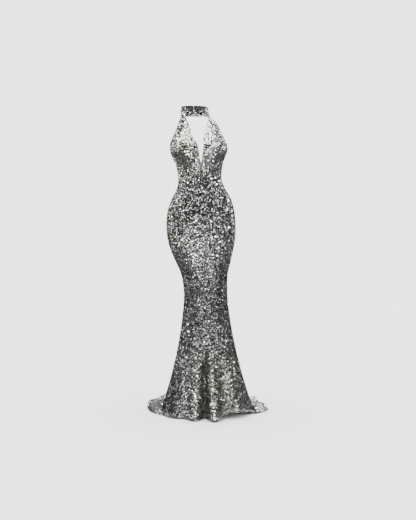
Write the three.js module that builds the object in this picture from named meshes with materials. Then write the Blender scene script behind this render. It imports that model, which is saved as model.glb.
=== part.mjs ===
// Halter-neck mermaid evening gown in sequinned stretch cloth, in the hollow form that it has when worn.
// Millimetres, +Z up. The front faces -Y and +X is the wearer's left. The origin is the middle of the
// collar, where the gown is held up, and the train spreads over the floor at the bottom.
import * as THREE from "three";

const degree = Math.PI / 180;

// Cloth
const clothWall = 2; // stretch ground cloth with its sequins
const collarWall = 3; // doubled cloth
const seamGap = 0.3;

// Heights
const kneeZ = -905; // the narrowest level, where the flare starts
const floorZ = -1517;
const sideTop = -200; // top of the side seams, under the arms
const plungeEnd = -265; // lower end of the keyhole opening
const backTop = -335; // lowest point of the open back, at the centre
const strapBlendZ = -70; // the straps' rows tilt to meet the collar above this level
const strapTop = -27; // nominal level of the straps' upper ends
const backBlendZ = -420; // the back's rows dip towards its neckline above this level

// Collar band, tilted forwards. Each edge is its level at the sides and its fall from the sides to the front.
const collarTop = { side: 22, fall: 14 };
const collarBottom = { side: -22, fall: 10 };
const collarOpening = 1; // between the band's ends at the nape

// Bust cups, one on each side of the centre front
const cup = { angle: 33, z: -195, depth: 33, spread: 22, above: 60, below: 36 };

// The worn form, a row for each level: the middle across, half the width, the depths in front of and behind
// the collar's axis, and how far the centre front is turned to the wearer's left, in degrees.
const sections = [
  { z: 60, middle: -2, half: 65, front: 60, back: 64, turn: 5 },
  { z: 22, middle: -1, half: 67, front: 62, back: 65, turn: 5 },
  { z: -2, middle: 0, half: 69, front: 64, back: 66, turn: 5 },
  { z: -25, middle: 3, half: 74, front: 66, back: 68, turn: 5 },
  { z: -42, middle: 8, half: 88, front: 70, back: 72, turn: 4 },
  { z: -55, middle: 11, half: 104, front: 74, back: 76, turn: 3 },
  { z: -70, middle: 13, half: 116, front: 79, back: 80, turn: 2 },
  { z: -98, middle: 16, half: 129, front: 88, back: 84, turn: 1 },
  { z: -130, middle: 14, half: 137, front: 96, back: 84, turn: 2 },
  { z: -165, middle: 17, half: 143, front: 102, back: 82, turn: 4 },
  { z: -200, middle: 18, half: 141, front: 104, back: 79, turn: 5 },
  { z: -232, middle: 19, half: 130, front: 101, back: 77, turn: 5 },
  { z: -265, middle: 22, half: 118, front: 96, back: 75, turn: 5 },
  { z: -300, middle: 24, half: 111, front: 92, back: 72, turn: 4 },
  { z: -338, middle: 26, half: 109, front: 91, back: 71, turn: 3 },
  { z: -380, middle: 31, half: 120, front: 94, back: 79, turn: 2 },
  { z: -430, middle: 33, half: 146, front: 101, back: 98, turn: 1 },
  { z: -480, middle: 31, half: 164, front: 106, back: 115, turn: 0 },
  { z: -540, middle: 31, half: 173, front: 108, back: 126, turn: 0 },
  { z: -610, middle: 32, half: 173, front: 107, back: 127, turn: 0 },
  { z: -665, middle: 34, half: 165, front: 105, back: 121, turn: -1 },
  { z: -740, middle: 41, half: 142, front: 102, back: 110, turn: -1 },
  { z: -820, middle: 49, half: 116, front: 98, back: 100, turn: -2 },
  { z: -905, middle: 55, half: 109, front: 95, back: 96, turn: -3 },
];

// Edges of the front, in degrees from the centre front: the plunging opening and the armhole.
const frontEdges = [
  { z: -12, plunge: 52, armhole: 84 },
  { z: -25, plunge: 47, armhole: 81 },
  { z: -42, plunge: 37, armhole: 71 },
  { z: -55, plunge: 28.5, armhole: 62.5 },
  { z: -70, plunge: 22.5, armhole: 57.5 },
  { z: -98, plunge: 15.5, armhole: 55.5 },
  { z: -127, plunge: 11, armhole: 60 },
  { z: -151, plunge: 7.6, armhole: 67.5 },
  { z: -178, plunge: 5.2, armhole: 78 },
  { z: -200, plunge: 3.9, armhole: 90 },
  { z: -225, plunge: 3, armhole: 90 },
  { z: -250, plunge: 2.1, armhole: 90 },
  { z: plungeEnd, plunge: 0, armhole: 90 },
];

// The skirt on the floor, a row for each bearing from the centre front: the radius where the cloth comes
// down, the hem's radius, and how far the hem hangs clear of the floor.
const skirtMiddle = 60;
const skirtFloor = [
  { bearing: -180, foot: 296, hem: 470, lift: 0 },
  { bearing: -150, foot: 286, hem: 442, lift: 0 },
  { bearing: -130, foot: 264, hem: 398, lift: 0 },
  { bearing: -109, foot: 242, hem: 328, lift: 0 },
  { bearing: -86, foot: 230, hem: 282, lift: 0 },
  { bearing: -64, foot: 220, hem: 244, lift: 0 },
  { bearing: -46, foot: 208, hem: 220, lift: 0 },
  { bearing: -28, foot: 200, hem: 208, lift: 0 },
  { bearing: 0, foot: 208, hem: 216, lift: 0 },
  { bearing: 20, foot: 206, hem: 213, lift: 4 },
  { bearing: 34, foot: 203, hem: 209, lift: 22 },
  { bearing: 60, foot: 218, hem: 225, lift: 24 },
  { bearing: 78, foot: 230, hem: 244, lift: 10 },
  { bearing: 98, foot: 236, hem: 308, lift: 0 },
  { bearing: 120, foot: 250, hem: 336, lift: 0 },
  { bearing: 146, foot: 278, hem: 404, lift: 0 },
  { bearing: 180, foot: 296, hem: 470, lift: 0 },
];
const flare = { mean: 1.58, lean: 0.08 }; // how late the skirt opens below the knee, sooner on the left
const breakRound = 17; // spacing of the points that round the cloth's break at the floor

// Vertical folds of the flare: bearing from the centre front, spread in degrees, how far each stands out (or
// in, if negative) at the floor, the share of the way down where it starts, and its rise at the train's hem.
const folds = [
  { bearing: 0, spread: 4.6, out: -64, start: 0.3, rise: 0 },
  { bearing: -13, spread: 6, out: 20, start: 0.35, rise: 0 },
  { bearing: 12.5, spread: 6.5, out: 34, start: 0.35, rise: 0 },
  { bearing: -30, spread: 6, out: -10, start: 0.4, rise: 0 },
  { bearing: -44, spread: 8, out: 9, start: 0.3, rise: 0 },
  { bearing: -66, spread: 7, out: -12, start: 0.35, rise: 0 },
  { bearing: -104, spread: 7, out: 5, start: 0.4, rise: 9 },
  { bearing: -126, spread: 6, out: 9, start: 0.3, rise: 9 },
  { bearing: -148, spread: 5.5, out: 22, start: 0.2, rise: 12 },
  { bearing: -171, spread: 6, out: 20, start: 0.3, rise: 22 },
  { bearing: 168, spread: 5, out: 26, start: 0.25, rise: 16 },
  { bearing: 147, spread: 6, out: 20, start: 0.2, rise: 12 },
  { bearing: 122, spread: 6, out: 12, start: 0.3, rise: 6 },
  { bearing: 104, spread: 5, out: 4, start: 0.4, rise: 4 },
  { bearing: 74, spread: 7, out: -10, start: 0.35, rise: 0 },
  { bearing: 52, spread: 9, out: 10, start: 0.25, rise: 0 },
  { bearing: 33, spread: 7, out: -14, start: 0.35, rise: 0 },
];
const riseRun = 130; // run on the floor over which a fold rises

// Soft drag creases across the hips and thighs: level, bearing, how far each reaches and how deep it is.
const creases = [
  { z: -560, bearing: 30, wide: 30, tall: 11, deep: 3, slope: -0.7 },
  { z: -610, bearing: -22, wide: 34, tall: 12, deep: 3.5, slope: 0.6 },
  { z: -655, bearing: 26, wide: 30, tall: 13, deep: 4, slope: -0.9 },
  { z: -715, bearing: -12, wide: 32, tall: 12, deep: 3, slope: 0.8 },
  { z: -352, bearing: 38, wide: 26, tall: 9, deep: 2.5, slope: 0.5 },
  { z: -372, bearing: -40, wide: 26, tall: 9, deep: 2.5, slope: -0.5 },
  { z: -420, bearing: 150, wide: 26, tall: 10, deep: 3, slope: 0.6 },
  { z: -402, bearing: -148, wide: 26, tall: 10, deep: 3, slope: -0.6 },
  { z: -700, bearing: 160, wide: 30, tall: 14, deep: 4, slope: 0.7 },
  { z: -735, bearing: -155, wide: 30, tall: 14, deep: 4, slope: -0.7 },
];

// Rows of the wall's mesh, from the top down, above the knee.
const rowBands = [
  { from: strapTop, to: strapBlendZ, steps: 3 },
  { from: strapBlendZ, to: sideTop, steps: 7 },
  { from: sideTop, to: plungeEnd, steps: 3 },
  { from: plungeEnd, to: backBlendZ, steps: 6 },
  { from: backBlendZ, to: kneeZ, steps: 11 },
];

// Rows below the knee: some down to breakAt above the floor, one at the break and some along the floor.
const skirtRows = { down: 12, breakAt: 34, along: 4 };
const columns = { front: 18, back: 17, collar: 48 };
const frontCrowding = 1.25; // how much the front's columns crowd towards the centre fold

// Nape buttons and their cord loops
const button = { radius: 4.6, lip: 0.4, edge: 0.6, dome: 2.6, stem: 2.1, shank: 2.3, sides: 16 };
const buttonPlace = { bearing: 174.5, levels: [24, 0] };
const loopCord = { radius: 0.7, around: 3.4, endX: 7, steps: 20, sides: 8 };

const sequinned = new THREE.MeshStandardMaterial({ color: 0xb4b6b8, roughness: 0.3, metalness: 0.8 });
const satinCord = new THREE.MeshStandardMaterial({ color: 0x8d8f92, roughness: 0.6, metalness: 0 });
const plated = new THREE.MeshStandardMaterial({ color: 0xc9cacc, roughness: 0.25, metalness: 1 });

// A smooth curve through one column of a table, held at its ends.
function column(rows, key, name, at) {
  const rising = rows[0][key] < rows[rows.length - 1][key];
  const list = rising ? rows : [...rows].reverse();
  if (at <= list[0][key]) return list[0][name];
  const last = list.length - 1;
  if (at >= list[last][key]) return list[last][name];
  let i = 0;
  while (at > list[i + 1][key]) i++;
  const slope = (k) => {
    const low = list[Math.max(k - 1, 0)];
    const high = list[Math.min(k + 1, last)];
    return (high[name] - low[name]) / (high[key] - low[key]);
  };
  const width = list[i + 1][key] - list[i][key];
  const t = (at - list[i][key]) / width;
  const rest = 1 - t;
  return (
    list[i][name] * rest * rest * (1 + 2 * t) +
    list[i + 1][name] * t * t * (3 - 2 * t) +
    slope(i) * width * t * rest * rest -
    slope(i + 1) * width * t * t * rest
  );
}

// Bearings run from -180 to 180 degrees.
function turned(bearing) {
  return ((((bearing + 180) % 360) + 360) % 360) - 180;
}

function bump(distance, spread) {
  return Math.exp(-0.5 * (distance / spread) ** 2);
}

function eased(t) {
  const held = Math.min(Math.max(t, 0), 1);
  return held * held * (3 - 2 * held);
}

// How far the bust cups stand out from the plain form.
function cupDepth(bearing, z) {
  const tall = z > cup.z ? cup.above : cup.below;
  const across = bump(bearing - cup.angle, cup.spread) + bump(bearing + cup.angle, cup.spread);
  return cup.depth * across * bump(z - cup.z, tall);
}

function creaseDepth(bearing, z) {
  return creases.reduce((sum, crease) => {
    const aside = turned(bearing - crease.bearing);
    const level = z - crease.z - aside * crease.slope;
    return sum + crease.deep * bump(aside, crease.wide) * bump(level, crease.tall);
  }, 0);
}

// A point of the worn form above the knee.
function bodyPoint(bearing, z) {
  const size = (name) => column(sections, "z", name, z);
  const angle = (bearing + size("turn")) * degree;
  const depth = Math.cos(angle) > 0 ? size("front") : size("back");
  const out = cupDepth(bearing, z) - creaseDepth(bearing, z);
  return new THREE.Vector3(
    size("middle") + (size("half") + out) * Math.sin(angle),
    -(depth + out) * Math.cos(angle),
    z,
  );
}

function skirtSize(bearing, name) {
  return column(skirtFloor, "bearing", name, turned(bearing));
}

function floorRun(bearing) {
  return skirtSize(bearing, "hem") - skirtSize(bearing, "foot");
}

// A point of the skirt at a distance below the knee, measured down to the floor and then along it.
function skirtRaw(bearing, distance) {
  const knee = bodyPoint(bearing, kneeZ);
  const height = kneeZ - floorZ;
  const down = Math.min(Math.max(distance / height, 0), 1);
  const along = Math.max(distance - height, 0);
  const angle = (bearing + column(sections, "z", "turn", kneeZ)) * degree;
  let radius = skirtSize(bearing, "foot") + along;
  let clear = clothWall + skirtSize(bearing, "lift");
  const opened = down ** (flare.mean - flare.lean * Math.sin(angle));
  folds.forEach((fold) => {
    const near = bump(turned(bearing - fold.bearing), fold.spread);
    const grown = eased((down - fold.start) / (1 - fold.start));
    radius += (fold.out * near * grown) / Math.max(opened, 0.2);
    clear += fold.rise * near * eased(along / riseRun);
  });
  return new THREE.Vector3(
    knee.x + (skirtMiddle + radius * Math.sin(angle) - knee.x) * opened,
    knee.y + (-radius * Math.cos(angle) - knee.y) * opened,
    kneeZ - down * height + clear * eased(down),
  );
}

// A point of the whole gown. Above the knee, path is the level; below it, it goes on down the skirt's length.
function gownPoint(bearing, path) {
  if (path >= kneeZ) return bodyPoint(bearing, path);
  const distance = kneeZ - path;
  const ease = eased((distance - 6 * breakRound) / (6 * breakRound));
  const mean = new THREE.Vector3();
  [1, 2, 2, 2, 1].forEach((weight, i) => {
    mean.addScaledVector(skirtRaw(bearing, distance + (i - 2) * breakRound * ease), weight / 8);
  });
  return mean;
}

// The way out of the cloth at a point.
function gownNormal(bearing, path) {
  const turn = 0.4;
  const step = 1;
  const across = gownPoint(bearing + turn, path).sub(gownPoint(bearing - turn, path));
  const up = gownPoint(bearing, path + step).sub(gownPoint(bearing, path - step));
  return across.cross(up).normalize();
}

// The angle at the gown's axis that a small width on its surface takes.
function angleOf(width, bearing, path) {
  const point = gownPoint(bearing, path);
  const middle = path >= kneeZ ? column(sections, "z", "middle", path) : skirtMiddle;
  return width / Math.hypot(point.x - middle, point.y) / degree;
}

// A wall from a grid of places on the gown: places[row][column] = [bearing, path], with rows from the bottom
// up and bearings rising. Outer points lie on the gown's surface and inner ones a wall's thickness inside.
function wallGeometry(places, wall) {
  const rows = places.length;
  const across = places[0].length;
  const outer = [];
  const inner = [];
  places.flat().forEach(([bearing, path]) => {
    const point = gownPoint(bearing, path);
    outer.push(...point.toArray());
    inner.push(...point.addScaledVector(gownNormal(bearing, path), -wall).toArray());
  });
  const count = rows * across;
  const faces = [];
  const quad = (a, b, c, d) => faces.push(a, b, c, a, c, d);
  for (let j = 0; j < rows - 1; j++) {
    for (let i = 0; i < across - 1; i++) {
      const a = j * across + i;
      quad(a, a + 1, a + across + 1, a + across);
      quad(a + count, a + across + count, a + across + 1 + count, a + 1 + count);
    }
  }
  const rim = [];
  for (let i = 0; i < across - 1; i++) rim.push(i);
  for (let j = 0; j < rows - 1; j++) rim.push(j * across + across - 1);
  for (let i = across - 1; i > 0; i--) rim.push((rows - 1) * across + i);
  for (let j = rows - 1; j > 0; j--) rim.push(j * across);
  rim.forEach((a, k) => {
    const b = rim[(k + 1) % rim.length];
    quad(a, a + count, b + count, b);
  });
  const geometry = new THREE.BufferGeometry();
  geometry.setAttribute("position", new THREE.Float32BufferAttribute([...outer, ...inner], 3));
  geometry.setIndex(faces);
  return geometry;
}

// How far down the skirt a row lies: step 0 is the knee, and the steps past skirtRows.down close in on the
// break at the floor and then share out the run along it.
function skirtDistance(step, bearing) {
  const { down, breakAt, along } = skirtRows;
  const height = kneeZ - floorZ;
  if (step <= down) return ((height - breakAt) * step) / down;
  if (step === down + 1) return height;
  return height + (floorRun(bearing) * (step - down - 1)) / along;
}

// Nominal rows from the hem up: a level above the knee, or a step of the skirt below it.
function nominalRows(top) {
  const rows = [];
  for (let step = skirtRows.down + 1 + skirtRows.along; step > 0; step--) rows.push({ step });
  [...rowBands].reverse().forEach((band) => {
    for (let i = band.steps; i > 0; i--) {
      const level = band.from + ((band.to - band.from) * i) / band.steps;
      if (level <= top + seamGap) rows.push({ level });
    }
  });
  rows.push({ level: top });
  return rows;
}

function collarEdge(edge, bearing) {
  return edge.side - edge.fall * Math.cos(bearing * degree);
}

// One half of the front, from the centre front to the side seam and from the hem up to the collar.
function frontPlaces(side) {
  return nominalRows(strapTop).map((row) => {
    const level = row.step ? kneeZ : row.level;
    const edge = (name) => column(frontEdges, "z", name, level);
    const pathAt = (bearing) => {
      if (row.step) return kneeZ - skirtDistance(row.step, side * bearing);
      if (level < strapBlendZ) return level;
      const share = (level - strapBlendZ) / (strapTop - strapBlendZ);
      const top = collarEdge(collarBottom, bearing) - seamGap;
      return strapBlendZ + share * (top - strapBlendZ);
    };
    const clear = (bearing) => angleOf(seamGap / 2, side * bearing, pathAt(bearing));
    const inner = Math.max(edge("plunge"), clear(0));
    const outer = Math.min(edge("armhole"), 90 - clear(90));
    const places = [];
    for (let i = 0; i <= columns.front; i++) {
      const bearing = inner + (outer - inner) * (i / columns.front) ** frontCrowding;
      places.push([side * bearing, pathAt(bearing)]);
    }
    return side > 0 ? places : places.reverse();
  });
}

// The open back's neckline, from under the arm down to the centre back.
function backNeckline(bearing) {
  const share = Math.max(bearing - 90, 0) / 90;
  return sideTop + (backTop - sideTop) * (1 - (1 - share) ** 2);
}

// One half of the back, from the side seam to the centre back and from the hem up to the open back.
function backPlaces(side) {
  return nominalRows(sideTop).map((row) => {
    const pathAt = (bearing) => {
      if (row.step) return kneeZ - skirtDistance(row.step, side * bearing);
      if (row.level < backBlendZ) return row.level;
      const share = (row.level - backBlendZ) / (sideTop - backBlendZ);
      return backBlendZ + share * (backNeckline(bearing) - backBlendZ);
    };
    const clear = (bearing) => angleOf(seamGap / 2, side * bearing, pathAt(bearing));
    const from = 90 + clear(90);
    const to = 180 - clear(180);
    const places = [];
    for (let i = 0; i <= columns.back; i++) {
      const bearing = from + ((to - from) * i) / columns.back;
      places.push([side * bearing, pathAt(bearing)]);
    }
    return side > 0 ? places : places.reverse();
  });
}

// The collar band, open at the nape.
function collarPlaces() {
  const steps = 4;
  const end = 180 - angleOf(collarOpening / 2, 180, 0);
  const places = [];
  for (let j = 0; j <= steps; j++) {
    const row = [];
    for (let i = 0; i <= columns.collar; i++) {
      const bearing = -end + (2 * end * i) / columns.collar;
      const low = collarEdge(collarBottom, bearing);
      row.push([bearing, low + ((collarEdge(collarTop, bearing) - low) * j) / steps]);
    }
    places.push(row);
  }
  return places;
}

// A domed button on a shank, turned about the way out of the collar.
function napeButton(level) {
  const { radius, lip, edge, dome, stem, shank, sides } = button;
  const profile = [new THREE.Vector2(0, 0), new THREE.Vector2(shank, 0), new THREE.Vector2(shank, stem)];
  profile.push(new THREE.Vector2(radius, stem + lip));
  const base = stem + lip + edge;
  const steps = 4;
  for (let i = 0; i < steps; i++) {
    const rise = (i / steps) * 90 * degree;
    profile.push(new THREE.Vector2(radius * Math.cos(rise), base + dome * Math.sin(rise)));
  }
  profile.push(new THREE.Vector2(0, base + dome));
  const mesh = new THREE.Mesh(new THREE.LatheGeometry(profile, sides), plated);
  const out = gownNormal(buttonPlace.bearing, level);
  mesh.quaternion.setFromUnitVectors(new THREE.Vector3(0, 1, 0), out);
  mesh.position.copy(gownPoint(buttonPlace.bearing, level)).addScaledVector(out, seamGap);
  return mesh;
}

// A cord loop from the other end of the band, round the button's shank and back.
function napeLoop(level) {
  const { radius, around, endX, steps, sides } = loopCord;
  const lie = (bearing, z) => {
    const out = gownNormal(bearing, z);
    return gownPoint(bearing, z).addScaledVector(out, radius + seamGap);
  };
  const width = (x) => angleOf(x, 180, level);
  const points = [];
  for (let i = 0; i <= steps; i++) {
    const turn = (-90 + (180 * i) / steps) * degree;
    const x = around * Math.cos(turn);
    points.push(lie(buttonPlace.bearing - width(x), level + around * Math.sin(turn)));
  }
  const end = (z) => lie(180 + width(endX), z);
  points.unshift(end(level - around));
  points.push(end(level + around));
  const section = new THREE.Shape();
  section.absarc(0, 0, radius, 0, 2 * Math.PI);
  return new THREE.Mesh(
    new THREE.ExtrudeGeometry(section, {
      steps: 2 * steps,
      curveSegments: sides / 2,
      extrudePath: new THREE.CatmullRomCurve3(points, false, "centripetal"),
    }),
    satinCord,
  );
}

const gown = new THREE.Group();

function add(name, mesh) {
  mesh.name = name;
  gown.add(mesh);
}

add("collar", new THREE.Mesh(wallGeometry(collarPlaces(), collarWall), sequinned));
[
  { hand: "left", side: 1 },
  { hand: "right", side: -1 },
].forEach(({ hand, side }) => {
  add(`front_${hand}`, new THREE.Mesh(wallGeometry(frontPlaces(side), clothWall), sequinned));
  add(`back_${hand}`, new THREE.Mesh(wallGeometry(backPlaces(side), clothWall), sequinned));
});
buttonPlace.levels.forEach((level, i) => {
  add(`nape_button_${i + 1}`, napeButton(level));
  add(`nape_loop_${i + 1}`, napeLoop(level));
});

export default gown;
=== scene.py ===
import bpy
import math
import numpy as np
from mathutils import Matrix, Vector


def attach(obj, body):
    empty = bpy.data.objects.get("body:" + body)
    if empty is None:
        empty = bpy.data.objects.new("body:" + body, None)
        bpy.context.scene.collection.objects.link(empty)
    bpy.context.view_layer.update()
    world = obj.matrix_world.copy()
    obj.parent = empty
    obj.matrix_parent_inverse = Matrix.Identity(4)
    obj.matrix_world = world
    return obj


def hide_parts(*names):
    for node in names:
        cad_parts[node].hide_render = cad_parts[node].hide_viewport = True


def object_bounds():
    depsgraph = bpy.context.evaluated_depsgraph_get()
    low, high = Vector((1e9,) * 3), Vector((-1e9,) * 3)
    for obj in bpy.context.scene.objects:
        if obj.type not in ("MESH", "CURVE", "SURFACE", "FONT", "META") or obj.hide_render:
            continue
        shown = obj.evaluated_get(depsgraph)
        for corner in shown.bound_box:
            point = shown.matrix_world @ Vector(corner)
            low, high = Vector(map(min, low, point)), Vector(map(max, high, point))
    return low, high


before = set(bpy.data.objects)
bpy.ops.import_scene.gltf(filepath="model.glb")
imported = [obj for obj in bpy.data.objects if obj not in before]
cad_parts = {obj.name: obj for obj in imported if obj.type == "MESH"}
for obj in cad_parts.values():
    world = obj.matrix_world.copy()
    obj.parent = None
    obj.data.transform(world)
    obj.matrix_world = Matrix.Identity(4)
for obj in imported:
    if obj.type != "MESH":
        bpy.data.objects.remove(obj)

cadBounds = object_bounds()
mm = 0.001
print("frame loaded:", sorted(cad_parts))


# Camera, floor and light

cameraSettings = {
    "place": (0.0665, -4.6, -0.5066),  # metres, from the middle of the collar
    "pitchDown": 47 / 914,             # rise over run
    "lens": 79.1,
    "sensor": 36,
}


def addCamera(settings):
    data = bpy.data.cameras.new("studioCamera")
    data.sensor_fit = "HORIZONTAL"
    data.sensor_width = settings["sensor"]
    data.lens = settings["lens"]
    data.clip_end = 100
    camera = bpy.data.objects.new("studioCamera", data)
    bpy.context.collection.objects.link(camera)
    camera.location = settings["place"]
    camera.rotation_euler = (math.radians(90) - math.atan(settings["pitchDown"]), 0, 0)
    bpy.context.scene.camera = camera


addCamera(cameraSettings)

studio = {
    "floorLevel": cadBounds[0].z,
    "floorSize": 60,
    "floorColour": (0.84, 0.845, 0.85),
    "mirroredFloorShade": (0.016, 0.16),  # shares of its paleness that the sequins mirror, in patches: painted shade on the floor's mirrored look
    "backdrop": (3.17, 3.19, 3.21),
    "daylight": 3.78,           # even light on the floor and the plain cloth
    "surround": (0.018, 0.10),  # what the sequins mirror between the soft boxes, in patches
    "patchScale": 4.6,
    "patchRange": (0.42, 0.64),  # the noise's values at which a patch begins and is full
}


# Soft patches of dark and light, for the sequins to mirror
def addPatches(tree, place, settings, dark, light):
    noise = addNode(tree, "TexNoise")
    noise.inputs["Scale"].default_value = settings["patchScale"]
    noise.inputs["Detail"].default_value = 1
    wire(tree, place, noise.inputs["Vector"])
    return ranged(tree, noise.outputs[0], *settings["patchRange"], dark, light, "SMOOTHSTEP")


def newMaterial(name, **sockets):
    material = bpy.data.materials.new(name)
    material.use_nodes = True
    shader = material.node_tree.nodes["Principled BSDF"]
    for socket, value in sockets.items():
        shader.inputs[socket.replace("_", " ")].default_value = value
    return material, material.node_tree, shader


def addNode(tree, kind, **settings):
    node = tree.nodes.new("ShaderNode" + kind)
    for key, value in settings.items():
        setattr(node, key, value)
    return node


def wire(tree, source, target):
    tree.links.new(source, target)


# A Math node on sockets or plain numbers
def sums(tree, operation, *terms):
    node = addNode(tree, "Math", operation=operation)
    for socket, term in zip(node.inputs, terms):
        if isinstance(term, bpy.types.NodeSocket):
            wire(tree, term, socket)
        else:
            socket.default_value = term
    return node.outputs[0]


# A smooth step or a straight one from one range to another
def ranged(tree, value, low, high, toLow, toHigh, kind="LINEAR"):
    node = addNode(tree, "MapRange", interpolation_type=kind)
    for socket, number in zip(node.inputs[1:5], (low, high, toLow, toHigh)):
        socket.default_value = number
    wire(tree, value, node.inputs[0])
    return node.outputs[0]


def tinted(tree, factor, first, second):
    node = addNode(tree, "Mix", data_type="RGBA")
    for socket, colour in zip((node.inputs[6], node.inputs[7]), (first, second)):
        if isinstance(colour, bpy.types.NodeSocket):
            wire(tree, colour, socket)
        else:
            socket.default_value = (*colour, 1)
    wire(tree, factor, node.inputs[0])
    return node.outputs[2]


def addFloor(settings):
    size = settings["floorSize"]
    bpy.ops.mesh.primitive_plane_add(size=size, location=(0, 0, settings["floorLevel"]))
    floor = bpy.context.object
    floor.name = "studioFloor"
    bpy.ops.object.transform_apply(location=True, rotation=True, scale=True)
    material, tree, shader = newMaterial("paleFloor", Roughness=0.9, Specular_IOR_Level=0.0)
    path = addNode(tree, "LightPath")
    place = addNode(tree, "TexCoord").outputs["Object"]
    # Painted shade: the rays that the sequins mirror see the floor darkened in patches, and all other rays
    # see its own paleness
    patches = addPatches(tree, place, settings, *settings["mirroredFloorShade"])
    shaded = tinted(tree, patches, (0, 0, 0), settings["floorColour"])
    wire(tree, tinted(tree, path.outputs["Is Glossy Ray"], settings["floorColour"], shaded),
         shader.inputs["Base Color"])
    floor.data.materials.append(material)


def addWorld(settings):
    world = bpy.data.worlds.new("studioWorld")
    bpy.context.scene.world = world
    world.use_nodes = True
    world.cycles.sampling_method = "NONE"
    tree = world.node_tree
    tree.nodes.clear()
    place = addNode(tree, "TexCoord").outputs["Generated"]
    patches = addPatches(tree, place, settings, *settings["surround"])
    mirrored, lit, seen = (addNode(tree, "Background") for _ in range(3))
    mirrored.inputs["Color"].default_value = (1, 1, 1, 1)
    wire(tree, patches, mirrored.inputs["Strength"])
    lit.inputs["Color"].default_value = (1, 1, 1, 1)
    lit.inputs["Strength"].default_value = settings["daylight"]
    seen.inputs["Color"].default_value = (*settings["backdrop"], 1)
    path = addNode(tree, "LightPath")
    surface = mirrored.outputs[0]
    for ray, background in (("Is Diffuse Ray", lit), ("Is Camera Ray", seen)):
        mix = addNode(tree, "MixShader")
        wire(tree, path.outputs[ray], mix.inputs["Fac"])
        wire(tree, surface, mix.inputs[1])
        wire(tree, background.outputs[0], mix.inputs[2])
        surface = mix.outputs[0]
    wire(tree, surface, addNode(tree, "OutputWorld").inputs["Surface"])


# Soft boxes, in metres. Only what shines mirrors them
softBoxes = [
    # name, place, aim, size, brightness
    ("topFrontLeft", (-1.75, -1.75, 2.6), (0.05, 0.0, -0.15), (1.0, 2.1), 12.5),
    ("topFront", (0.2, -1.75, 2.6), (0.05, 0.0, -0.15), (1.0, 2.1), 12.5),
    ("topFrontRight", (2.15, -1.75, 2.6), (0.05, 0.0, -0.15), (1.0, 2.1), 12.5),
    ("thighFront", (-0.45, -2.6, -0.98), (0.0, 0.0, -0.7), (1.2, 0.3), 3.6),
    ("lowFront", (0.5, -1.7, -1.4), (0.05, 0.0, -0.3), (1.5, 0.5), 2.6),
    ("lowLeft", (-1.9, -2.6, -0.75), (0.05, 0.0, -0.75), (0.42, 1.4), 6.0),
    ("frontRight", (2.9, -2.2, -0.2), (0.05, 0.0, -0.7), (0.35, 2.2), 5.5),
    ("leftSide", (-3.0, 0.5, 0.0), (0.05, 0.0, -0.7), (0.5, 2.4), 7.0),
    ("rightSide", (2.6, 1.6, 0.1), (0.05, 0.0, -0.7), (0.4, 2.2), 5.0),
    ("backLeft", (-1.5, 2.8, 0.2), (0.05, 0.0, -0.7), (0.5, 2.2), 9.0),
    ("backTop", (0.6, 2.2, 2.2), (0.05, 0.0, -0.4), (2.6, 1.5), 8.0),
    ("overhead", (0.1, 0.2, 2.8), (0.1, 0.2, -1.0), (1.3, 1.3), 5.0),
    ("thighBack", (0.2, 2.7, -1.0), (0.05, 0.0, -0.7), (1.4, 0.5), 1.8),
    ("thighLeft", (-2.7, 0.3, -1.0), (0.05, 0.0, -0.7), (1.0, 0.4), 1.2),
    ("thighRight", (2.8, 0.2, -1.0), (0.05, 0.0, -0.7), (1.0, 0.4), 1.2),
    ("highLeft", (-2.2, 0.9, 1.4), (0.0, 0.0, -0.1), (1.3, 0.9), 2.5),
    ("highRight", (2.3, 0.9, 1.4), (0.0, 0.0, -0.1), (1.3, 0.9), 2.5),
    ("sparkHigh", (-0.5, -2.6, 1.3), (0.05, 0.0, -0.5), (0.27, 0.27), 42.0),
    ("sparkLeft", (-1.6, -2.9, -0.1), (0.05, 0.0, -0.7), (0.27, 0.27), 42.0),
    ("sparkRight", (1.5, -2.8, 0.2), (0.05, 0.0, -0.7), (0.27, 0.27), 42.0),
    ("sparkLow", (0.5, -3.4, -1.1), (0.05, 0.0, -0.7), (0.27, 0.27), 42.0),
    ("sparkFloorLeft", (-0.4, -1.1, -1.45), (-0.05, -0.1, -0.3), (0.2, 0.2), 26.0),
    ("sparkFloorRight", (0.5, -0.9, -1.45), (0.1, -0.1, -0.3), (0.2, 0.2), 26.0),
    ("sparkSideLeft", (-3.0, -0.6, 0.5), (0.05, 0.0, -0.7), (0.3, 0.3), 90.0),
    ("sparkSideRight", (3.0, 0.3, 0.4), (0.05, 0.0, -0.7), (0.3, 0.3), 90.0),
    ("sparkBack", (0.9, 3.0, 0.3), (0.05, 0.0, -0.7), (0.3, 0.3), 90.0),
    ("sparkBackLow", (-0.8, 3.1, -0.8), (0.05, 0.0, -0.7), (0.26, 0.26), 90.0),
]


def addLights(rows):
    for name, place, aim, size, brightness in rows:
        data = bpy.data.lights.new(name, "AREA")
        data.shape = "RECTANGLE"
        data.size, data.size_y = size
        data.energy = brightness * math.pi * size[0] * size[1]
        light = bpy.data.objects.new(name, data)
        bpy.context.collection.objects.link(light)
        light.location = place
        light.rotation_euler = (Vector(aim) - Vector(place)).to_track_quat("-Z", "Y").to_euler()
        light.visible_camera = False
        light.visible_diffuse = False


addFloor(studio)
addWorld(studio)
addLights(softBoxes)
print("camera, floor and lights set")


# The gown's surface, in millimetres, the same as in the frame's solids

def table(names, rows):
    return {name: np.array(column, float) for name, column in zip(names.split(), zip(*rows))}


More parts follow.
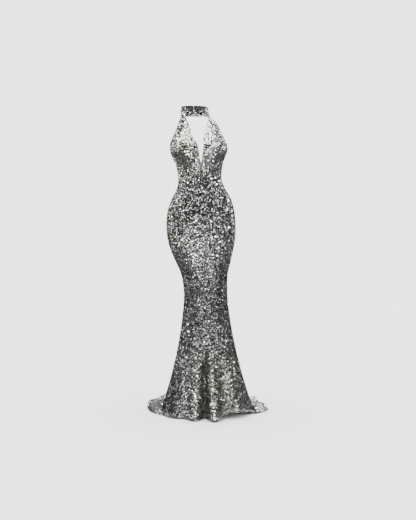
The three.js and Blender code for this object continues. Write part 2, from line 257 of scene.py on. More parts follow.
form = {
    "kneeZ": -905,
    "floorZ": -1517,
    "sideTop": -200,
    "backTop": -335,
    "strapBlendZ": -70,
    "strapTop": -27,
    "backBlendZ": -420,
    "skirtMiddle": 60,
    "flareMean": 1.58,
    "flareLean": 0.08,
    "leastOpened": 0.2,
    "breakRound": 17,
    "breakEase": 6,       # how many of these the rounding takes to begin, and again to be full
    "riseRun": 130,
    "wall": 2,
    "collarGap": 0.3,
    "skirtLength": 760,   # about, from the knee to the hem
}
collarEdges = {"top": (22, 14), "bottom": (-22, 10)}  # level at the sides, and fall to the front
cup = {"angle": 33, "z": -195, "depth": 33, "spread": 22, "above": 60, "below": 36}

sections = table("z middle half front back turn", [
    (60, -2, 65, 60, 64, 5),
    (22, -1, 67, 62, 65, 5),
    (-2, 0, 69, 64, 66, 5),
    (-25, 3, 74, 66, 68, 5),
    (-42, 8, 88, 70, 72, 4),
    (-55, 11, 104, 74, 76, 3),
    (-70, 13, 116, 79, 80, 2),
    (-98, 16, 129, 88, 84, 1),
    (-130, 14, 137, 96, 84, 2),
    (-165, 17, 143, 102, 82, 4),
    (-200, 18, 141, 104, 79, 5),
    (-232, 19, 130, 101, 77, 5),
    (-265, 22, 118, 96, 75, 5),
    (-300, 24, 111, 92, 72, 4),
    (-338, 26, 109, 91, 71, 3),
    (-380, 31, 120, 94, 79, 2),
    (-430, 33, 146, 101, 98, 1),
    (-480, 31, 164, 106, 115, 0),
    (-540, 31, 173, 108, 126, 0),
    (-610, 32, 173, 107, 127, 0),
    (-665, 34, 165, 105, 121, -1),
    (-740, 41, 142, 102, 110, -1),
    (-820, 49, 116, 98, 100, -2),
    (-905, 55, 109, 95, 96, -3),
])

frontEdges = table("z plunge armhole", [
    (-12, 52, 84),
    (-25, 47, 81),
    (-42, 37, 71),
    (-55, 28.5, 62.5),
    (-70, 22.5, 57.5),
    (-98, 15.5, 55.5),
    (-127, 11, 60),
    (-151, 7.6, 67.5),
    (-178, 5.2, 78),
    (-200, 3.9, 90),
    (-225, 3, 90),
    (-250, 2.1, 90),
    (-265, 0, 90),
])

skirtFloor = table("bearing foot hem lift", [
    (-180, 296, 470, 0),
    (-150, 286, 442, 0),
    (-130, 264, 398, 0),
    (-109, 242, 328, 0),
    (-86, 230, 282, 0),
    (-64, 220, 244, 0),
    (-46, 208, 220, 0),
    (-28, 200, 208, 0),
    (0, 208, 216, 0),
    (20, 206, 213, 4),
    (34, 203, 209, 22),
    (60, 218, 225, 24),
    (78, 230, 244, 10),
    (98, 236, 308, 0),
    (120, 250, 336, 0),
    (146, 278, 404, 0),
    (180, 296, 470, 0),
])

folds = table("bearing spread out start rise", [
    (0, 4.6, -64, 0.3, 0),
    (-13, 6, 20, 0.35, 0),
    (12.5, 6.5, 34, 0.35, 0),
    (-30, 6, -10, 0.4, 0),
    (-44, 8, 9, 0.3, 0),
    (-66, 7, -12, 0.35, 0),
    (-104, 7, 5, 0.4, 9),
    (-126, 6, 9, 0.3, 9),
    (-148, 5.5, 22, 0.2, 12),
    (-171, 6, 20, 0.3, 22),
    (168, 5, 26, 0.25, 16),
    (147, 6, 20, 0.2, 12),
    (122, 6, 12, 0.3, 6),
    (104, 5, 4, 0.4, 4),
    (74, 7, -10, 0.35, 0),
    (52, 9, 10, 0.25, 0),
    (33, 7, -14, 0.35, 0),
])

creases = table("z bearing wide tall deep slope", [
    (-560, 30, 30, 11, 3, -0.7),
    (-610, -22, 34, 12, 3.5, 0.6),
    (-655, 26, 30, 13, 4, -0.9),
    (-715, -12, 32, 12, 3, 0.8),
    (-352, 38, 26, 9, 2.5, 0.5),
    (-372, -40, 26, 9, 2.5, -0.5),
    (-420, 150, 26, 10, 3, 0.6),
    (-402, -148, 26, 10, 3, -0.6),
    (-700, 160, 30, 14, 4, 0.7),
    (-735, -155, 30, 14, 4, -0.7),
])


# A smooth curve through one column of a table, held at its ends
def along(rows, key, name, at):
    order = np.argsort(rows[key])
    x, y = rows[key][order], rows[name][order]
    at = np.clip(at, x[0], x[-1])
    last = len(x) - 1
    i = np.clip(np.searchsorted(x, at, side="right") - 1, 0, last - 1)
    low = np.maximum(np.arange(last + 1) - 1, 0)
    high = np.minimum(np.arange(last + 1) + 1, last)
    slope = (y[high] - y[low]) / (x[high] - x[low])
    width = x[i + 1] - x[i]
    t = (at - x[i]) / width
    rest = 1 - t
    return (y[i] * rest**2 * (1 + 2 * t) + y[i + 1] * t**2 * (3 - 2 * t)
            + slope[i] * width * t * rest**2 - slope[i + 1] * width * t**2 * rest)


def turned(bearing):
    return (bearing + 180) % 360 - 180


def bump(distance, spread):
    return np.exp(-0.5 * (distance / spread) ** 2)


def eased(t):
    t = np.clip(t, 0, 1)
    return t * t * (3 - 2 * t)


def bodyPoint(bearing, z):
    size = {name: along(sections, "z", name, z) for name in ("middle", "half", "front", "back", "turn")}
    angle = np.radians(bearing + size["turn"])
    tall = np.where(z > cup["z"], cup["above"], cup["below"])
    across = bump(bearing - cup["angle"], cup["spread"]) + bump(bearing + cup["angle"], cup["spread"])
    out = cup["depth"] * across * bump(z - cup["z"], tall)
    for level, at, wide, high, deep, slope in zip(*creases.values()):
        aside = turned(bearing - at)
        out = out - deep * bump(aside, wide) * bump(z - level - aside * slope, high)
    depth = np.where(np.cos(angle) > 0, size["front"], size["back"])
    return np.stack([
        size["middle"] + (size["half"] + out) * np.sin(angle),
        -(depth + out) * np.cos(angle),
        z + 0 * bearing,
    ], -1)


def floorRun(bearing):
    bearing = turned(bearing)
    return along(skirtFloor, "bearing", "hem", bearing) - along(skirtFloor, "bearing", "foot", bearing)


def skirtPoint(bearing, distance):
    knee = bodyPoint(bearing, np.full_like(distance, form["kneeZ"]))
    height = form["kneeZ"] - form["floorZ"]
    down = np.clip(distance / height, 0, 1)
    run = np.maximum(distance - height, 0)
    angle = np.radians(bearing + sections["turn"][-1])
    radius = along(skirtFloor, "bearing", "foot", turned(bearing)) + run
    clear = form["wall"] + along(skirtFloor, "bearing", "lift", turned(bearing))
    opened = down ** (form["flareMean"] - form["flareLean"] * np.sin(angle))
    for at, spread, out, start, rise in zip(*folds.values()):
        near = bump(turned(bearing - at), spread)
        grown = eased((down - start) / (1 - start))
        radius = radius + out * near * grown / np.maximum(opened, form["leastOpened"])
        clear = clear + rise * near * eased(run / form["riseRun"])
    middle = form["skirtMiddle"]
    return np.stack([
        knee[..., 0] + (middle + radius * np.sin(angle) - knee[..., 0]) * opened,
        knee[..., 1] + (-radius * np.cos(angle) - knee[..., 1]) * opened,
        form["kneeZ"] - down * height + clear * eased(down),
    ], -1)


# A point of the whole gown: above the knee, path is the level, and below it, it goes on down the skirt
def plainPoint(bearing, path):
    bearing, path = np.broadcast_arrays(np.asarray(bearing, float), np.asarray(path, float))
    body = bodyPoint(bearing, np.maximum(path, form["kneeZ"]))
    distance = np.maximum(form["kneeZ"] - path, 0)
    step = form["breakRound"]
    begin = form["breakEase"] * step
    ease = eased((distance - begin) / begin)
    skirt = 0
    for steps, weight in ((-2, 1 / 8), (-1, 1 / 4), (0, 1 / 4), (1, 1 / 4), (2, 1 / 8)):
        skirt = skirt + skirtPoint(bearing, np.maximum(distance + steps * step * ease, 0)) * weight
    return np.where((path >= form["kneeZ"])[..., None], body, skirt)


# Soft troughs and ridges of the worn cloth, finer than the solids': path, bearing, reach along and across
# the fold, height out of the cloth, and the fold's slope in millimetres a degree
rucks = table("path bearing wide tall out slope", [
    (-232, -52, 16, 7, -2.2, 0.7),
    (-250, 50, 16, 7, -2.2, -0.7),
    (-292, 26, 12, 6, 1.4, 0.8),
    (-318, 20, 18, 6, -1.6, 0.3),
    (-335, -18, 20, 6, 1.6, -0.2),
    (-366, 34, 16, 7, 1.8, 0.8),
    (-395, 12, 24, 8, -2.0, -0.4),
    (-446, -30, 26, 9, -2.2, 0.5),
    (-483, 50, 12, 8, -3.0, 0.9),
    (-512, 58, 12, 8, 2.4, 0.7),
    (-532, 20, 16, 8, 1.8, -0.9),
    (-573, 34, 10, 7, 3.2, -1.6),
    (-598, 44, 12, 8, -2.8, -1.2),
    (-644, 12, 15, 7, 3.0, -0.95),
    (-664, 24, 16, 8, -2.4, -0.9),
    (-640, -46, 20, 10, -2.6, 0.9),
    (-688, -36, 20, 9, 2.2, 1.0),
    (-724, 50, 16, 9, 2.0, -0.8),
    (-770, 20, 22, 10, -2.2, -0.8),
    (-812, -20, 24, 9, -2.0, 0.5),
    (-860, 8, 24, 8, 1.6, 0.3),
    (-418, 172, 24, 8, 2.0, 0.3),
    (-470, 175, 26, 9, -2.6, 0.2),
    (-655, -172, 26, 11, -3.2, 0.3),
    (-700, 140, 18, 9, 2.4, 0.9),
    (-716, -136, 20, 9, -2.4, -0.9),
    (-790, 178, 28, 11, -2.8, -0.3),
    (-850, 150, 24, 9, 2.0, 0.5),
])


def ruckHeight(bearing, path):
    out = 0
    for level, at, wide, tall, deep, slope in zip(*rucks.values()):
        aside = turned(bearing - at)
        out = out + deep * bump(aside, wide) * bump(path - level - aside * slope, tall)
    return out


# Normals of a grid of points, out of the gown
def gridNormals(points, middle):
    normals = np.cross(np.gradient(points, axis=1), np.gradient(points, axis=0))
    normals /= np.maximum(np.linalg.norm(normals, axis=-1, keepdims=True), 1e-9)
    away = (points - [middle, 0, 0]) * [1, 1, 0]
    return normals * np.sign((normals * away).sum())


# The worn outer face of one piece, as a grid of rows down and columns across
def layOut(place, side, rows, across):
    bearing, path = np.broadcast_arrays(*place(side, across[None, :], rows[:, None]))
    plain = plainPoint(bearing, path)
    points = plain + gridNormals(plain, form["skirtMiddle"]) * ruckHeight(bearing, path)[..., None]
    return {"points": points, "normals": gridNormals(points, form["skirtMiddle"])}


# Points and normals between those of the grid, by column and row numbers that need not be whole
def between(sheet, column, row):
    found = []
    for key in ("points", "normals"):
        grid = sheet[key]
        i = np.clip(column.astype(int), 0, grid.shape[1] - 2)
        j = np.clip(row.astype(int), 0, grid.shape[0] - 2)
        u, v = (column - i)[:, None], (row - j)[:, None]
        top = grid[j, i] * (1 - u) + grid[j, i + 1] * u
        low = grid[j + 1, i] * (1 - u) + grid[j + 1, i + 1] * u
        found.append(top * (1 - v) + low * v)
    return found


# The pieces' places on the gown, from shares across and rows down

def collarLevel(edge, bearing):
    side, fall = collarEdges[edge]
    return side - fall * np.cos(np.radians(bearing))


# Rows are levels above the knee, and below it 0 to 1 down the skirt is written as kneeZ less the share
def pathOfRow(bearing, row, topOf, blendZ, topRow):
    share = np.clip((row - blendZ) / (topRow - blendZ), 0, 1)
    upper = np.where(row < blendZ, row, blendZ + share * (topOf(bearing) - blendZ))
    length = form["kneeZ"] - form["floorZ"] + floorRun(bearing)
    return np.where(row >= form["kneeZ"], upper, form["kneeZ"] - (form["kneeZ"] - row) * length)


def frontPlace(side, across, row):
    level = np.maximum(row, form["kneeZ"])
    inner = along(frontEdges, "z", "plunge", level)
    outer = along(frontEdges, "z", "armhole", level)
    bearing = side * (inner + (outer - inner) * across)
    top = lambda angle: collarLevel("bottom", angle) - form["collarGap"]
    return bearing, pathOfRow(bearing, row, top, form["strapBlendZ"], form["strapTop"])


def backPlace(side, across, row):
    bearing = side * (90 + 90 * across)
    dip = lambda angle: form["sideTop"] + (form["backTop"] - form["sideTop"]) * (
        1 - (1 - np.clip(np.abs(angle) - 90, 0, 90) / 90) ** 2)
    return bearing, pathOfRow(bearing, row, dip, form["backBlendZ"], form["sideTop"])


def collarPlace(side, across, row):
    bearing = side * collar["halfTurn"] * across
    low = collarLevel("bottom", bearing)
    return bearing, low + (collarLevel("top", bearing) - low) * row


panels = {
    "front": {"place": frontPlace, "top": form["strapTop"], "flat": (0.42, 1.56), "area": 0.305},
    "back": {"place": backPlace, "top": form["sideTop"], "flat": (0.52, 1.42), "area": 0.345},
}
pieces = {}
for panel, settings in panels.items():
    for wearerSide, side in (("left", 1), ("right", -1)):
        pieces[panel + "_" + wearerSide] = {**settings, "side": side}

grid = {
    "rowStep": 4.1,       # millimetres down the piece
    "columns": 125,
    "clothEvery": 2,      # the ground cloth uses every second row and column
}
shell = {
    "sunk": 1.1,          # how far the ground cloth lies under the sequins' outer face
    "thickness": 0.7,
    "clear": 0.4,         # least height over the floor
}


# Rows in even numbers of steps, as the ground cloth uses every second one
def panelRows(top, step):
    upper = np.linspace(top, form["kneeZ"], int((top - form["kneeZ"]) / step / 2) * 2 + 1)
    lower = form["kneeZ"] - np.linspace(0, 1, int(form["skirtLength"] / step / 2) * 2 + 1)[1:]
    return np.concatenate([upper, lower])


def meshObject(name, points, faces):
    mesh = bpy.data.meshes.new(name)
    mesh.from_pydata(points.tolist(), [], faces)
    mesh.update()
    piece = bpy.data.objects.new(name, mesh)
    bpy.context.collection.objects.link(piece)
    return piece


def applyModifier(piece, kind, **settings):
    modifier = piece.modifiers.new(kind.lower(), kind)
    for key, value in settings.items():
        setattr(modifier, key, value)
    bpy.ops.object.select_all(action="DESELECT")
    bpy.context.view_layer.objects.active = piece
    piece.select_set(True)
    bpy.ops.object.modifier_apply(modifier=modifier.name)


def smooth(piece):
    piece.data.polygons.foreach_set("use_smooth", [True] * len(piece.data.polygons))


def gridFaces(rows, columns, flip):
    faces = []
    for j in range(rows - 1):
        for i in range(columns - 1):
            a = j * columns + i
            quad = (a, a + columns, a + columns + 1, a + 1)
            faces.append(quad[::-1] if flip else quad)
    return faces


# A map of the cut cloth in metres, for the knit, from the lengths along the grid's own lines
def mapCut(piece, points):
    across = np.linalg.norm(np.diff(points, axis=1, prepend=points[:, :1]), axis=-1).cumsum(1)
    down = np.linalg.norm(np.diff(points, axis=0, prepend=points[:1]), axis=-1).cumsum(0).mean(1)
    places = np.stack([across, np.broadcast_to(down[:, None], across.shape)], -1).reshape(-1, 2) * mm
    corners = np.empty(len(piece.data.loops), np.int32)
    piece.data.loops.foreach_get("vertex_index", corners)
    layer = piece.data.uv_layers.new(name="cut")
    layer.data.foreach_set("uv", places[corners].ravel())


def sewSheet(name, sheet, thickness, every):
    points = (sheet["points"] - sheet["normals"] * shell["sunk"])[::every, ::every]
    points[..., 2] = np.maximum(points[..., 2], form["floorZ"] + shell["clear"] + thickness)
    first = np.cross(points[0, 1] - points[0, 0], points[1, 0] - points[0, 0])
    flip = (first * sheet["normals"][0, 0]).sum() > 0
    piece = meshObject(name, points.reshape(-1, 3) * mm, gridFaces(*points.shape[:2], flip))
    mapCut(piece, points)
    applyModifier(piece, "SOLIDIFY", thickness=thickness * mm, offset=-1)
    smooth(piece)
    return piece


sheets, cloths = {}, {}
for name, settings in pieces.items():
    sheets[name] = layOut(settings["place"], settings["side"], panelRows(settings["top"], grid["rowStep"]),
                          np.linspace(0, 1, grid["columns"]))
    cloths[name] = sewSheet(name + "_cloth", sheets[name], shell["thickness"], grid["clothEvery"])
print("panels sewn:", {name: len(cloth.data.polygons) for name, cloth in cloths.items()})


# Collar band

collar = {
    "halfTurn": 179.5,    # degrees from the front to each end at the nape
    "columns": 201,
    "rows": 13,
    "thickness": 1.8,
    "flat": (0.432, 0.044),
    "bare": 4,            # columns without sequins at each end, for the buttons and loops
}
sheets["collar"] = layOut(collarPlace, 1, np.linspace(1, 0, collar["rows"]),
                          np.linspace(-1, 1, collar["columns"]))
cloths["collar"] = sewSheet("collar_cloth", sheets["collar"], collar["thickness"], 1)
print("collar sewn")


# Rolled edges, as narrow tubes round the cloth's own edges

edging = {"radius": 0.95, "sides": 6, "every": 2}


def rollEdges(name, lines):
    points, faces, sides = [], [], edging["sides"]
    turn = np.arange(sides) * 2 * np.pi / sides
    for line, normal in lines:
        run = np.gradient(line, axis=0)
        run /= np.maximum(np.linalg.norm(run, axis=1, keepdims=True), 1e-9)
        aside = np.cross(run, normal)
        aside /= np.maximum(np.linalg.norm(aside, axis=1, keepdims=True), 1e-9)
        upward = np.cross(aside, run)
        middle = line - normal * (shell["sunk"] + shell["thickness"] / 2)
        middle[:, 2] = np.maximum(middle[:, 2], form["floorZ"] + edging["radius"] + shell["clear"])
        ring = aside[:, None] * np.cos(turn)[:, None] + upward[:, None] * np.sin(turn)[:, None]
        base, count = sum(len(part) for part in points), len(line)
        points.append((middle[:, None] + ring * edging["radius"]).reshape(-1, 3))
        for j in range(count - 1):
            for i in range(sides):
                a, b = base + j * sides + i, base + j * sides + (i + 1) % sides
                faces.append((a, b, b + sides, a + sides))
        faces.append(tuple(base + i for i in range(sides))[::-1])
        faces.append(tuple(base + (count - 1) * sides + i for i in range(sides)))
    piece = meshObject(name, np.concatenate(points) * mm, faces)
    smooth(piece)
    return piece


# The open edges of a piece's grid: the top row, the hem, and the sides above the rows where seams start
def openEdges(sheet, rows, sides):
    step = edging["every"]
    lines = [(sheet["points"][row], sheet["normals"][row]) for row in rows]
    for column, last in sides:
        lines.append((sheet["points"][:last, column], sheet["normals"][:last, column]))
    return [(points[::step], normals[::step]) for points, normals in lines]


edges = {}
for name, settings in pieces.items():
    rows = panelRows(settings["top"], grid["rowStep"])
    if settings["place"] is frontPlace:
        sides = [(0, int((rows > frontEdges["z"].min()).sum())), (-1, int((rows > form["sideTop"]).sum()))]
        edges[name] = rollEdges(name + "_edges", openEdges(sheets[name], [-1], sides))
    else:
        edges[name] = rollEdges(name + "_edges", openEdges(sheets[name], [0, -1], []))
edges["collar"] = rollEdges("collar_edges", openEdges(sheets["collar"], [0, -1], []))
print("edges rolled")


# Sequins: flat discs, each of one kind from a chart of tones across, and of polishes and tints up. The
# sequins
# are all one silver: the spread of tones is painted glints and painted dark reflections, and the tints are
# painted reflections

sequin = {
    "radius": 2.75,
    "sizes": (0.9, 1.08),  # least and greatest share of that radius
    "sides": 9,
    "share": 15.8,        # square millimetres of cloth to each sequin
    "stagger": (0.25, 0.75),  # where even and odd rows begin, in distances to the next sequin
    "jitter": 0.3,        # spread of each place, in the same distances
    "tilt": 10,           # spread of the tilt on the stretched cloth, in degrees
    "looser": 5,          # more of it where the skirt hangs free
    "freeFrom": 250,      # full this many millimetres below the knee
    "freeTo": 90,         # and down to this many above the floor
    "steepest": 0.75,
    "lift": 0.15,         # centre above the worn form's outer face
    "margin": 1.7,        # kept clear of the cloth's edges
    "seam": 4.2,          # kept clear below the plunging opening, where the seam shows
    "seamLength": 85,
    "seed": 20,
}
chart = {"tones": 16, "tints": 4, "polishes": 4, "fill": 0.46}
cells = np.array([chart["tones"], chart["tints"] * chart["polishes"]])
random = np.random.default_rng(sequin["seed"])


# Patches of painted light on the sequins, and of duller polish: place, reach, tint, share of the sequins
# that take it, steps of tone that they are painted lighter, as painted highlights, or darker, as painted
# shade, how far their tones are drawn to the middle one, which tames their painted glints, and the share
# with the dullest polish.
# The tints are painted reflections of a coloured surround
paintedLightAndPolishPatches = table("x y z reach tint share lighter even dull", [
    (0, -60, 0, 50, 3, 0.30, -7, 0.3, 0),
    (-75, -75, -85, 50, 0, 0, 7, 0, 0),
    (75, -75, -85, 50, 0, 0, 3, 0, 0),
    (100, -110, -130, 70, 3, 0.35, 3, 0, 0),
    (-60, -110, -150, 60, 1, 0.7, -1, 0, 0),
    (-95, -90, -285, 70, 1, 0.8, 3, 0, 0),
    (80, -110, -260, 60, 0, 0, 4, 0, 0),
    (40, -120, -430, 110, 0, 0, -6, 0, 0),
    (-150, -20, -600, 110, 1, 0.8, -1, 0, 0),
    (180, 120, -500, 110, 1, 0.35, -2, 0, 0),
    (40, -140, -640, 90, 2, 0.25, 0, 0, 0),
    (-10, -110, -690, 60, 0, 0, 4, 0, 0),
    (60, -80, -850, 90, 0, 0, -3, 0.3, 0.24),
    (60, -100, -1000, 150, 0, 0, -5, 0.6, 0.28),
    (60, -60, -1250, 200, 0, 0, -2, 0.5, 0.28),
    (130, -120, -1180, 110, 1, 0.30, -1, 0, 0.2),
    (190, -150, -1400, 130, 1, 0.75, 0, 0.4, 0.28),
    (190, -150, -1490, 70, 0, 0, -4, 0.3, 0.4),
    (-60, -160, -1440, 150, 0, 0, -5, 0.6, 0.4),
    (25, -190, -1400, 80, 0, 0, 5, 0, 0),
    (310, 0, -1500, 80, 2, 0.60, -2, 0.4, 0.2),
    (-220, 200, -1400, 120, 2, 0.35, 0, 0, 0),
    (-240, 40, -1510, 110, 0, 0, -7, 0.4, 0.4),
])


# Spots by column and row number, as many to each band of the grid as its area asks
def strew(sheet, margins):
    points = sheet["points"]
    wide = np.linalg.norm(np.diff(points, axis=1), axis=-1)
    tall = np.linalg.norm(np.diff(points, axis=0), axis=-1)
    areas = (wide[1:] + wide[:-1]) / 2 * (tall[:, 1:] + tall[:, :-1]) / 2
    spots = []
    for row, (band, edge) in enumerate(zip(areas, wide)):
        grown = np.concatenate([[0], band.cumsum()])
        length = np.concatenate([[0], edge.cumsum()])
        count = max(int(round(grown[-1] / sequin["share"])), 1)
        staggered = np.arange(count) + sequin["stagger"][row % 2]
        share = (staggered + random.normal(0, sequin["jitter"], count)) / count
        column = np.interp(share * grown[-1], grown, np.arange(len(grown)))
        run = np.interp(column, np.arange(len(length)), length)
        first, last = margins(row, length[-1])
        run = np.clip(run, first, max(last, first))
        column = np.interp(run, length, np.arange(len(length)))
        spots.append(np.stack([column, row + random.uniform(0, 1, count)], -1))
    return np.concatenate(spots).T


# The column and row of each sequin in the chart
def kindOf(centre):
    count = len(centre)
    # Tones differ at random from sequin to sequin: painted glints and painted dark reflections on sequins of
    # one silver
    tone = random.uniform(0, chart["tones"], count)
    polish = random.integers(0, chart["polishes"], count)
    tint = np.zeros(count, int)
    # Painted light: near each patch the tone is moved lighter, as a painted highlight, or darker, as painted
    # shade, and the tint is a painted reflection
    for x, y, z, reach, kind, share, paintedLightSteps, even, dull in zip(*paintedLightAndPolishPatches.values()):
        near = bump(np.linalg.norm(centre - [x, y, z], axis=1), reach)
        tint = np.where(random.uniform(0, 1, count) < near * share, int(kind), tint)
        polish = np.where(random.uniform(0, 1, count) < near * dull, chart["polishes"] - 1, polish)
        tone = tone + paintedLightSteps * near + (chart["tones"] / 2 - tone) * even * near
    tone = np.clip(tone, 0, chart["tones"] - 1).astype(int)
    return np.stack([tone, tint * chart["polishes"] + polish], -1)


# How freely the cloth hangs, from 0 on the stretched body and on the floor to 1
def hanging(level):
    belowKnee = eased((form["kneeZ"] - level) / sequin["freeFrom"])
    overFloor = eased((level - form["floorZ"]) / sequin["freeTo"])
    return belowKnee * overFloor


def sewSequins(name, sheet, margins):
    centre, normal = between(sheet, *strew(sheet, margins))
    count, sides = len(centre), sequin["sides"]
    tilt = np.radians(sequin["tilt"] + sequin["looser"] * hanging(centre[:, 2:]))
    lean = np.clip(tilt * random.normal(0, 1, (count, 3)), -sequin["steepest"], sequin["steepest"])
    facing = normal + lean
    facing /= np.linalg.norm(facing, axis=1, keepdims=True)
    aside = np.cross(facing, random.normal(0, 1, (count, 3)))
    aside /= np.linalg.norm(aside, axis=1, keepdims=True)
    upward = np.cross(facing, aside)
    turn = np.arange(sides) * 2 * np.pi / sides
    rim = aside[:, None] * np.cos(turn)[:, None] + upward[:, None] * np.sin(turn)[:, None]
    radius = sequin["radius"] * random.uniform(*sequin["sizes"], count)
    points = (centre + normal * sequin["lift"])[:, None] + rim * radius[:, None, None]
    under = np.minimum(points[..., 2].min(1) - form["floorZ"] - shell["clear"], 0)
    points[..., 2] -= under[:, None]
    faces = np.arange(count * sides).reshape(count, -1).tolist()
    piece = meshObject(name, points.reshape(-1, 3) * mm, faces)
    middle = (kindOf(centre) + 0.5) / cells
    disc = np.stack([np.cos(turn), np.sin(turn)], -1) * chart["fill"] / cells
    layer = piece.data.uv_layers.new(name="OFBake")
    layer.data.foreach_set("uv", (middle[:, None] + disc).ravel())
    return piece


# Where a row's sequins begin and end. On a front, the upper part of the centre seam stays clear of them
def backMargins(row, length):
    return sequin["margin"], length - sequin["margin"]


def frontMargins(rows):
    seamTop = frontEdges["z"].min()
    seam = (rows <= seamTop) & (rows > seamTop - sequin["seamLength"])
    return lambda row, length: (sequin["seam"] if seam[row] else sequin["margin"], length - sequin["margin"])


sequins = {}
for name, settings in pieces.items():
    margins = backMargins
    if settings["place"] is frontPlace:
        margins = frontMargins(panelRows(settings["top"], grid["rowStep"]))
    sequins[name] = sewSequins(name + "_sequins", sheets[name], margins)
band = {key: points[:, collar["bare"]:-collar["bare"]] for key, points in sheets["collar"].items()}
sequins["collar"] = sewSequins("collar_sequins", band, lambda row, length: (0, length))
print("sequins:", {name: len(piece.data.polygons) for name, piece in sequins.items()})


# Finishes

# An effect with a place and one number in, and one value out
def newGroup(name, number, usual, value):
    group = bpy.data.node_groups.new(name, "ShaderNodeTree")
    group.interface.new_socket("Vector", in_out="INPUT", socket_type="NodeSocketVector")
    socket = group.interface.new_socket(number, in_out="INPUT", socket_type="NodeSocketFloat")
    socket.default_value = usual
    group.interface.new_socket(value, in_out="OUTPUT", socket_type="NodeSocketFloat")
    return group, group.nodes.new("NodeGroupInput"), group.nodes.new("NodeGroupOutput")


# Slow uneven changes that cloth and metal share
def unevenGroup():
    group, start, end = newGroup("unevenness", "Scale", 20, "Value")
    noise = addNode(group, "TexNoise")
    noise.inputs["Detail"].default_value = 3
    wire(group, start.outputs["Vector"], noise.inputs["Vector"])
    wire(group, start.outputs["Scale"], noise.inputs["Scale"])
    wire(group, ranged(group, noise.outputs[0], 0.3, 0.7, 0, 1), end.inputs["Value"])
    return group


# A knit net: threads along two slants, with small holes between them
def knitGroup():
    group, start, end = newGroup("knitNet", "Pitch", 0.0016, "Thread")
    split = addNode(group, "SeparateXYZ")
    wire(group, start.outputs["Vector"], split.inputs[0])
    threads = []
    for operation in ("ADD", "SUBTRACT"):
        slant = sums(group, operation, split.outputs["X"], split.outputs["Y"])
        phase = sums(group, "MULTIPLY", sums(group, "DIVIDE", slant, start.outputs["Pitch"]), math.pi)
        threads.append(sums(group, "ABSOLUTE", sums(group, "SINE", phase)))
    wire(group, ranged(group, sums(group, "MAXIMUM", *threads), 0.55, 0.95, 0, 1), end.inputs["Thread"])
    return group


uneven, knit = unevenGroup(), knitGroup()


def placeGroup(tree, group, vector, **inputs):
    node = addNode(tree, "Group", node_tree=group)
    wire(tree, vector, node.inputs["Vector"])
    for socket, value in inputs.items():
        node.inputs[socket].default_value = value
    return node.outputs[0]


def ramped(tree, factor, stops, kind="LINEAR"):
    node = addNode(tree, "ValToRGB")
    node.color_ramp.interpolation = kind
    while len(node.color_ramp.elements) < len(stops):
        node.color_ramp.elements.new(0.5)
    for element, (at, colour) in zip(node.color_ramp.elements, stops):
        element.position = at
        element.color = (*colour, 1)
    wire(tree, factor, node.inputs[0])
    return node.outputs[0]


def raised(tree, shader, height, strength, distance):
    bumps = addNode(tree, "Bump")
    bumps.inputs["Strength"].default_value = strength
    bumps.inputs["Distance"].default_value = distance
    wire(tree, height, bumps.inputs["Height"])
    wire(tree, bumps.outputs[0], shader.inputs["Normal"])


silverLook = {
    # Tones from near black to near white: painted glints and painted dark reflections on sequins of one
    # silver
    "tones": [(0.0, (0.08, 0.08, 0.082)), (0.2, (0.19, 0.191, 0.194)), (0.5, (0.41, 0.412, 0.416)),
              (0.8, (0.70, 0.705, 0.71)), (1.0, (0.95, 0.952, 0.955))],
    # Tints: painted reflections of a coloured surround
    "tints": [(0.0, (1.0, 1.0, 1.0)), (0.25, (0.87, 0.88, 0.71)),
              (0.5, (0.88, 0.88, 1.0)), (0.75, (1.0, 0.91, 0.80))],
    "pastStep": 0.05,          # keeps a tint's share clear of the ramp's step
    "roughness": (0.05, 0.20),
    "hole": (0.12, 0.2),       # shares of the way out from the middle
    "holeColour": (0.02, 0.02, 0.022),
    "rim": (0.84, 1.0),
    "rimRougher": 0.2,
}


def finishSequins(settings):
    material, tree, shader = newMaterial("silverSequins", Metallic=1.0)
    place = addNode(tree, "SeparateXYZ")
    wire(tree, addNode(tree, "UVMap", uv_map="OFBake").outputs[0], place.inputs[0])
    polishes, tints = chart["polishes"], chart["tints"]
    tone = sums(tree, "MULTIPLY", place.outputs["X"], chart["tones"])
    finish = sums(tree, "MULTIPLY", place.outputs["Y"], polishes * tints)
    toneShare = sums(tree, "DIVIDE", sums(tree, "FLOOR", tone), chart["tones"] - 1)
    tint = sums(tree, "FLOOR", sums(tree, "DIVIDE", finish, polishes))
    tintShare = sums(tree, "ADD", sums(tree, "DIVIDE", tint, tints), settings["pastStep"])
    polish = sums(tree, "FLOOR", sums(tree, "MODULO", finish, polishes))
    dullness = sums(tree, "DIVIDE", polish, polishes - 1)
    disc = addNode(tree, "CombineXYZ")
    for axis, value in zip("XY", (tone, finish)):
        aside = sums(tree, "SUBTRACT", sums(tree, "FRACT", value), 0.5)
        wire(tree, sums(tree, "DIVIDE", aside, chart["fill"]), disc.inputs[axis])
    out = addNode(tree, "VectorMath", operation="LENGTH")
    wire(tree, disc.outputs[0], out.inputs[0])
    out = out.outputs["Value"]
    colour = addNode(tree, "Mix", data_type="RGBA", blend_type="MULTIPLY")
    colour.inputs[0].default_value = 1
    # Base colour: the tone's painted glints and dark reflections, times the tint's painted reflection
    wire(tree, ramped(tree, toneShare, settings["tones"]), colour.inputs[6])
    wire(tree, ramped(tree, tintShare, settings["tints"], "CONSTANT"), colour.inputs[7])
    hole = ranged(tree, out, *settings["hole"], 1, 0, "SMOOTHSTEP")
    wire(tree, tinted(tree, hole, colour.outputs[2], settings["holeColour"]), shader.inputs["Base Color"])
    rim = ranged(tree, out, *settings["rim"], 0, settings["rimRougher"], "SMOOTHSTEP")
    roughness = ranged(tree, dullness, 0, 1, *settings["roughness"])
    wire(tree, sums(tree, "ADD", roughness, rim), shader.inputs["Roughness"])
    return material


groundLook = {
    "pitch": 0.0017,      # metres between threads
    "patchScale": 9,
    "threads": ((0.021, 0.0215, 0.023), (0.034, 0.0345, 0.037)),
    "holes": (0.006, 0.006, 0.0065),
    "relief": (0.6, 0.0003),
}


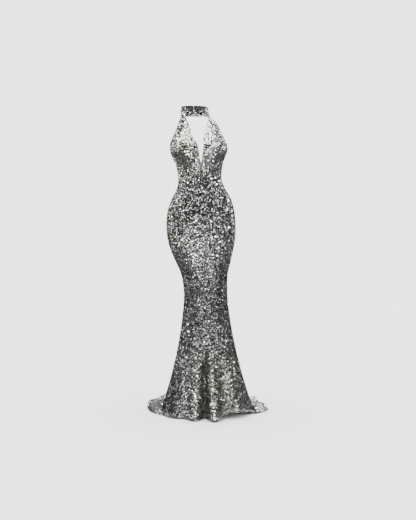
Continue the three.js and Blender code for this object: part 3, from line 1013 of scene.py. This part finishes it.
def finishGround(settings):
    material, tree, shader = newMaterial("knitGround", Roughness=0.8, Specular_IOR_Level=0.2)
    cut = addNode(tree, "UVMap", uv_map="cut").outputs[0]
    thread = placeGroup(tree, knit, cut, Pitch=settings["pitch"])
    patch = placeGroup(tree, uneven, cut, Scale=settings["patchScale"])
    threads = tinted(tree, patch, *settings["threads"])
    wire(tree, tinted(tree, thread, settings["holes"], threads), shader.inputs["Base Color"])
    raised(tree, shader, thread, *settings["relief"])
    return material


# Twisted satin cord: stripes that lean over the cord's run
cordLook = {
    "twistScale": 260,
    "stripes": [(0.2, (0.012, 0.012, 0.013)), (0.8, (0.05, 0.0505, 0.053))],
    "relief": (0.5, 0.0002),
}


def finishCord(settings):
    material, tree, shader = newMaterial("satinCord", Roughness=0.5, Sheen_Weight=0.08)
    twist = addNode(tree, "TexWave", bands_direction="DIAGONAL")
    twist.inputs["Scale"].default_value = settings["twistScale"]
    wire(tree, addNode(tree, "TexCoord").outputs["Object"], twist.inputs["Vector"])
    wire(tree, ramped(tree, twist.outputs["Fac"], settings["stripes"]), shader.inputs["Base Color"])
    raised(tree, shader, twist.outputs["Fac"], *settings["relief"])
    return material


buttonLook = {
    "wearScale": 600,
    "colours": ((0.62, 0.625, 0.64), (0.8, 0.805, 0.81)),
    "roughness": (0.28, 0.4),
    "relief": (0.05, 0.00005),
}


def finishButton(settings):
    material, tree, shader = newMaterial("brushedButton", Metallic=1.0)
    place = addNode(tree, "TexCoord").outputs["Object"]
    worn = placeGroup(tree, uneven, place, Scale=settings["wearScale"])
    wire(tree, tinted(tree, worn, *settings["colours"]), shader.inputs["Base Color"])
    wire(tree, ranged(tree, worn, 0, 1, *settings["roughness"]), shader.inputs["Roughness"])
    raised(tree, shader, worn, *settings["relief"])
    return material


silver, ground = finishSequins(silverLook), finishGround(groundLook)
cord, metal = finishCord(cordLook), finishButton(buttonLook)
for name, cloth in cloths.items():
    cloth.data.materials.append(ground)
    edges[name].data.materials.append(cord)
    sequins[name].data.materials.append(silver)

for name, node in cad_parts.items():
    if name.startswith("nape"):
        node.data.materials.clear()
        node.data.materials.append(metal if "button" in name else cord)
print("finishes made")


# Riding on the root, with the frame's own solids hidden

for name, cloth in cloths.items():
    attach(cloth, "root")
    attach(sequins[name], "root")
    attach(edges[name], "root")
    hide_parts(name)
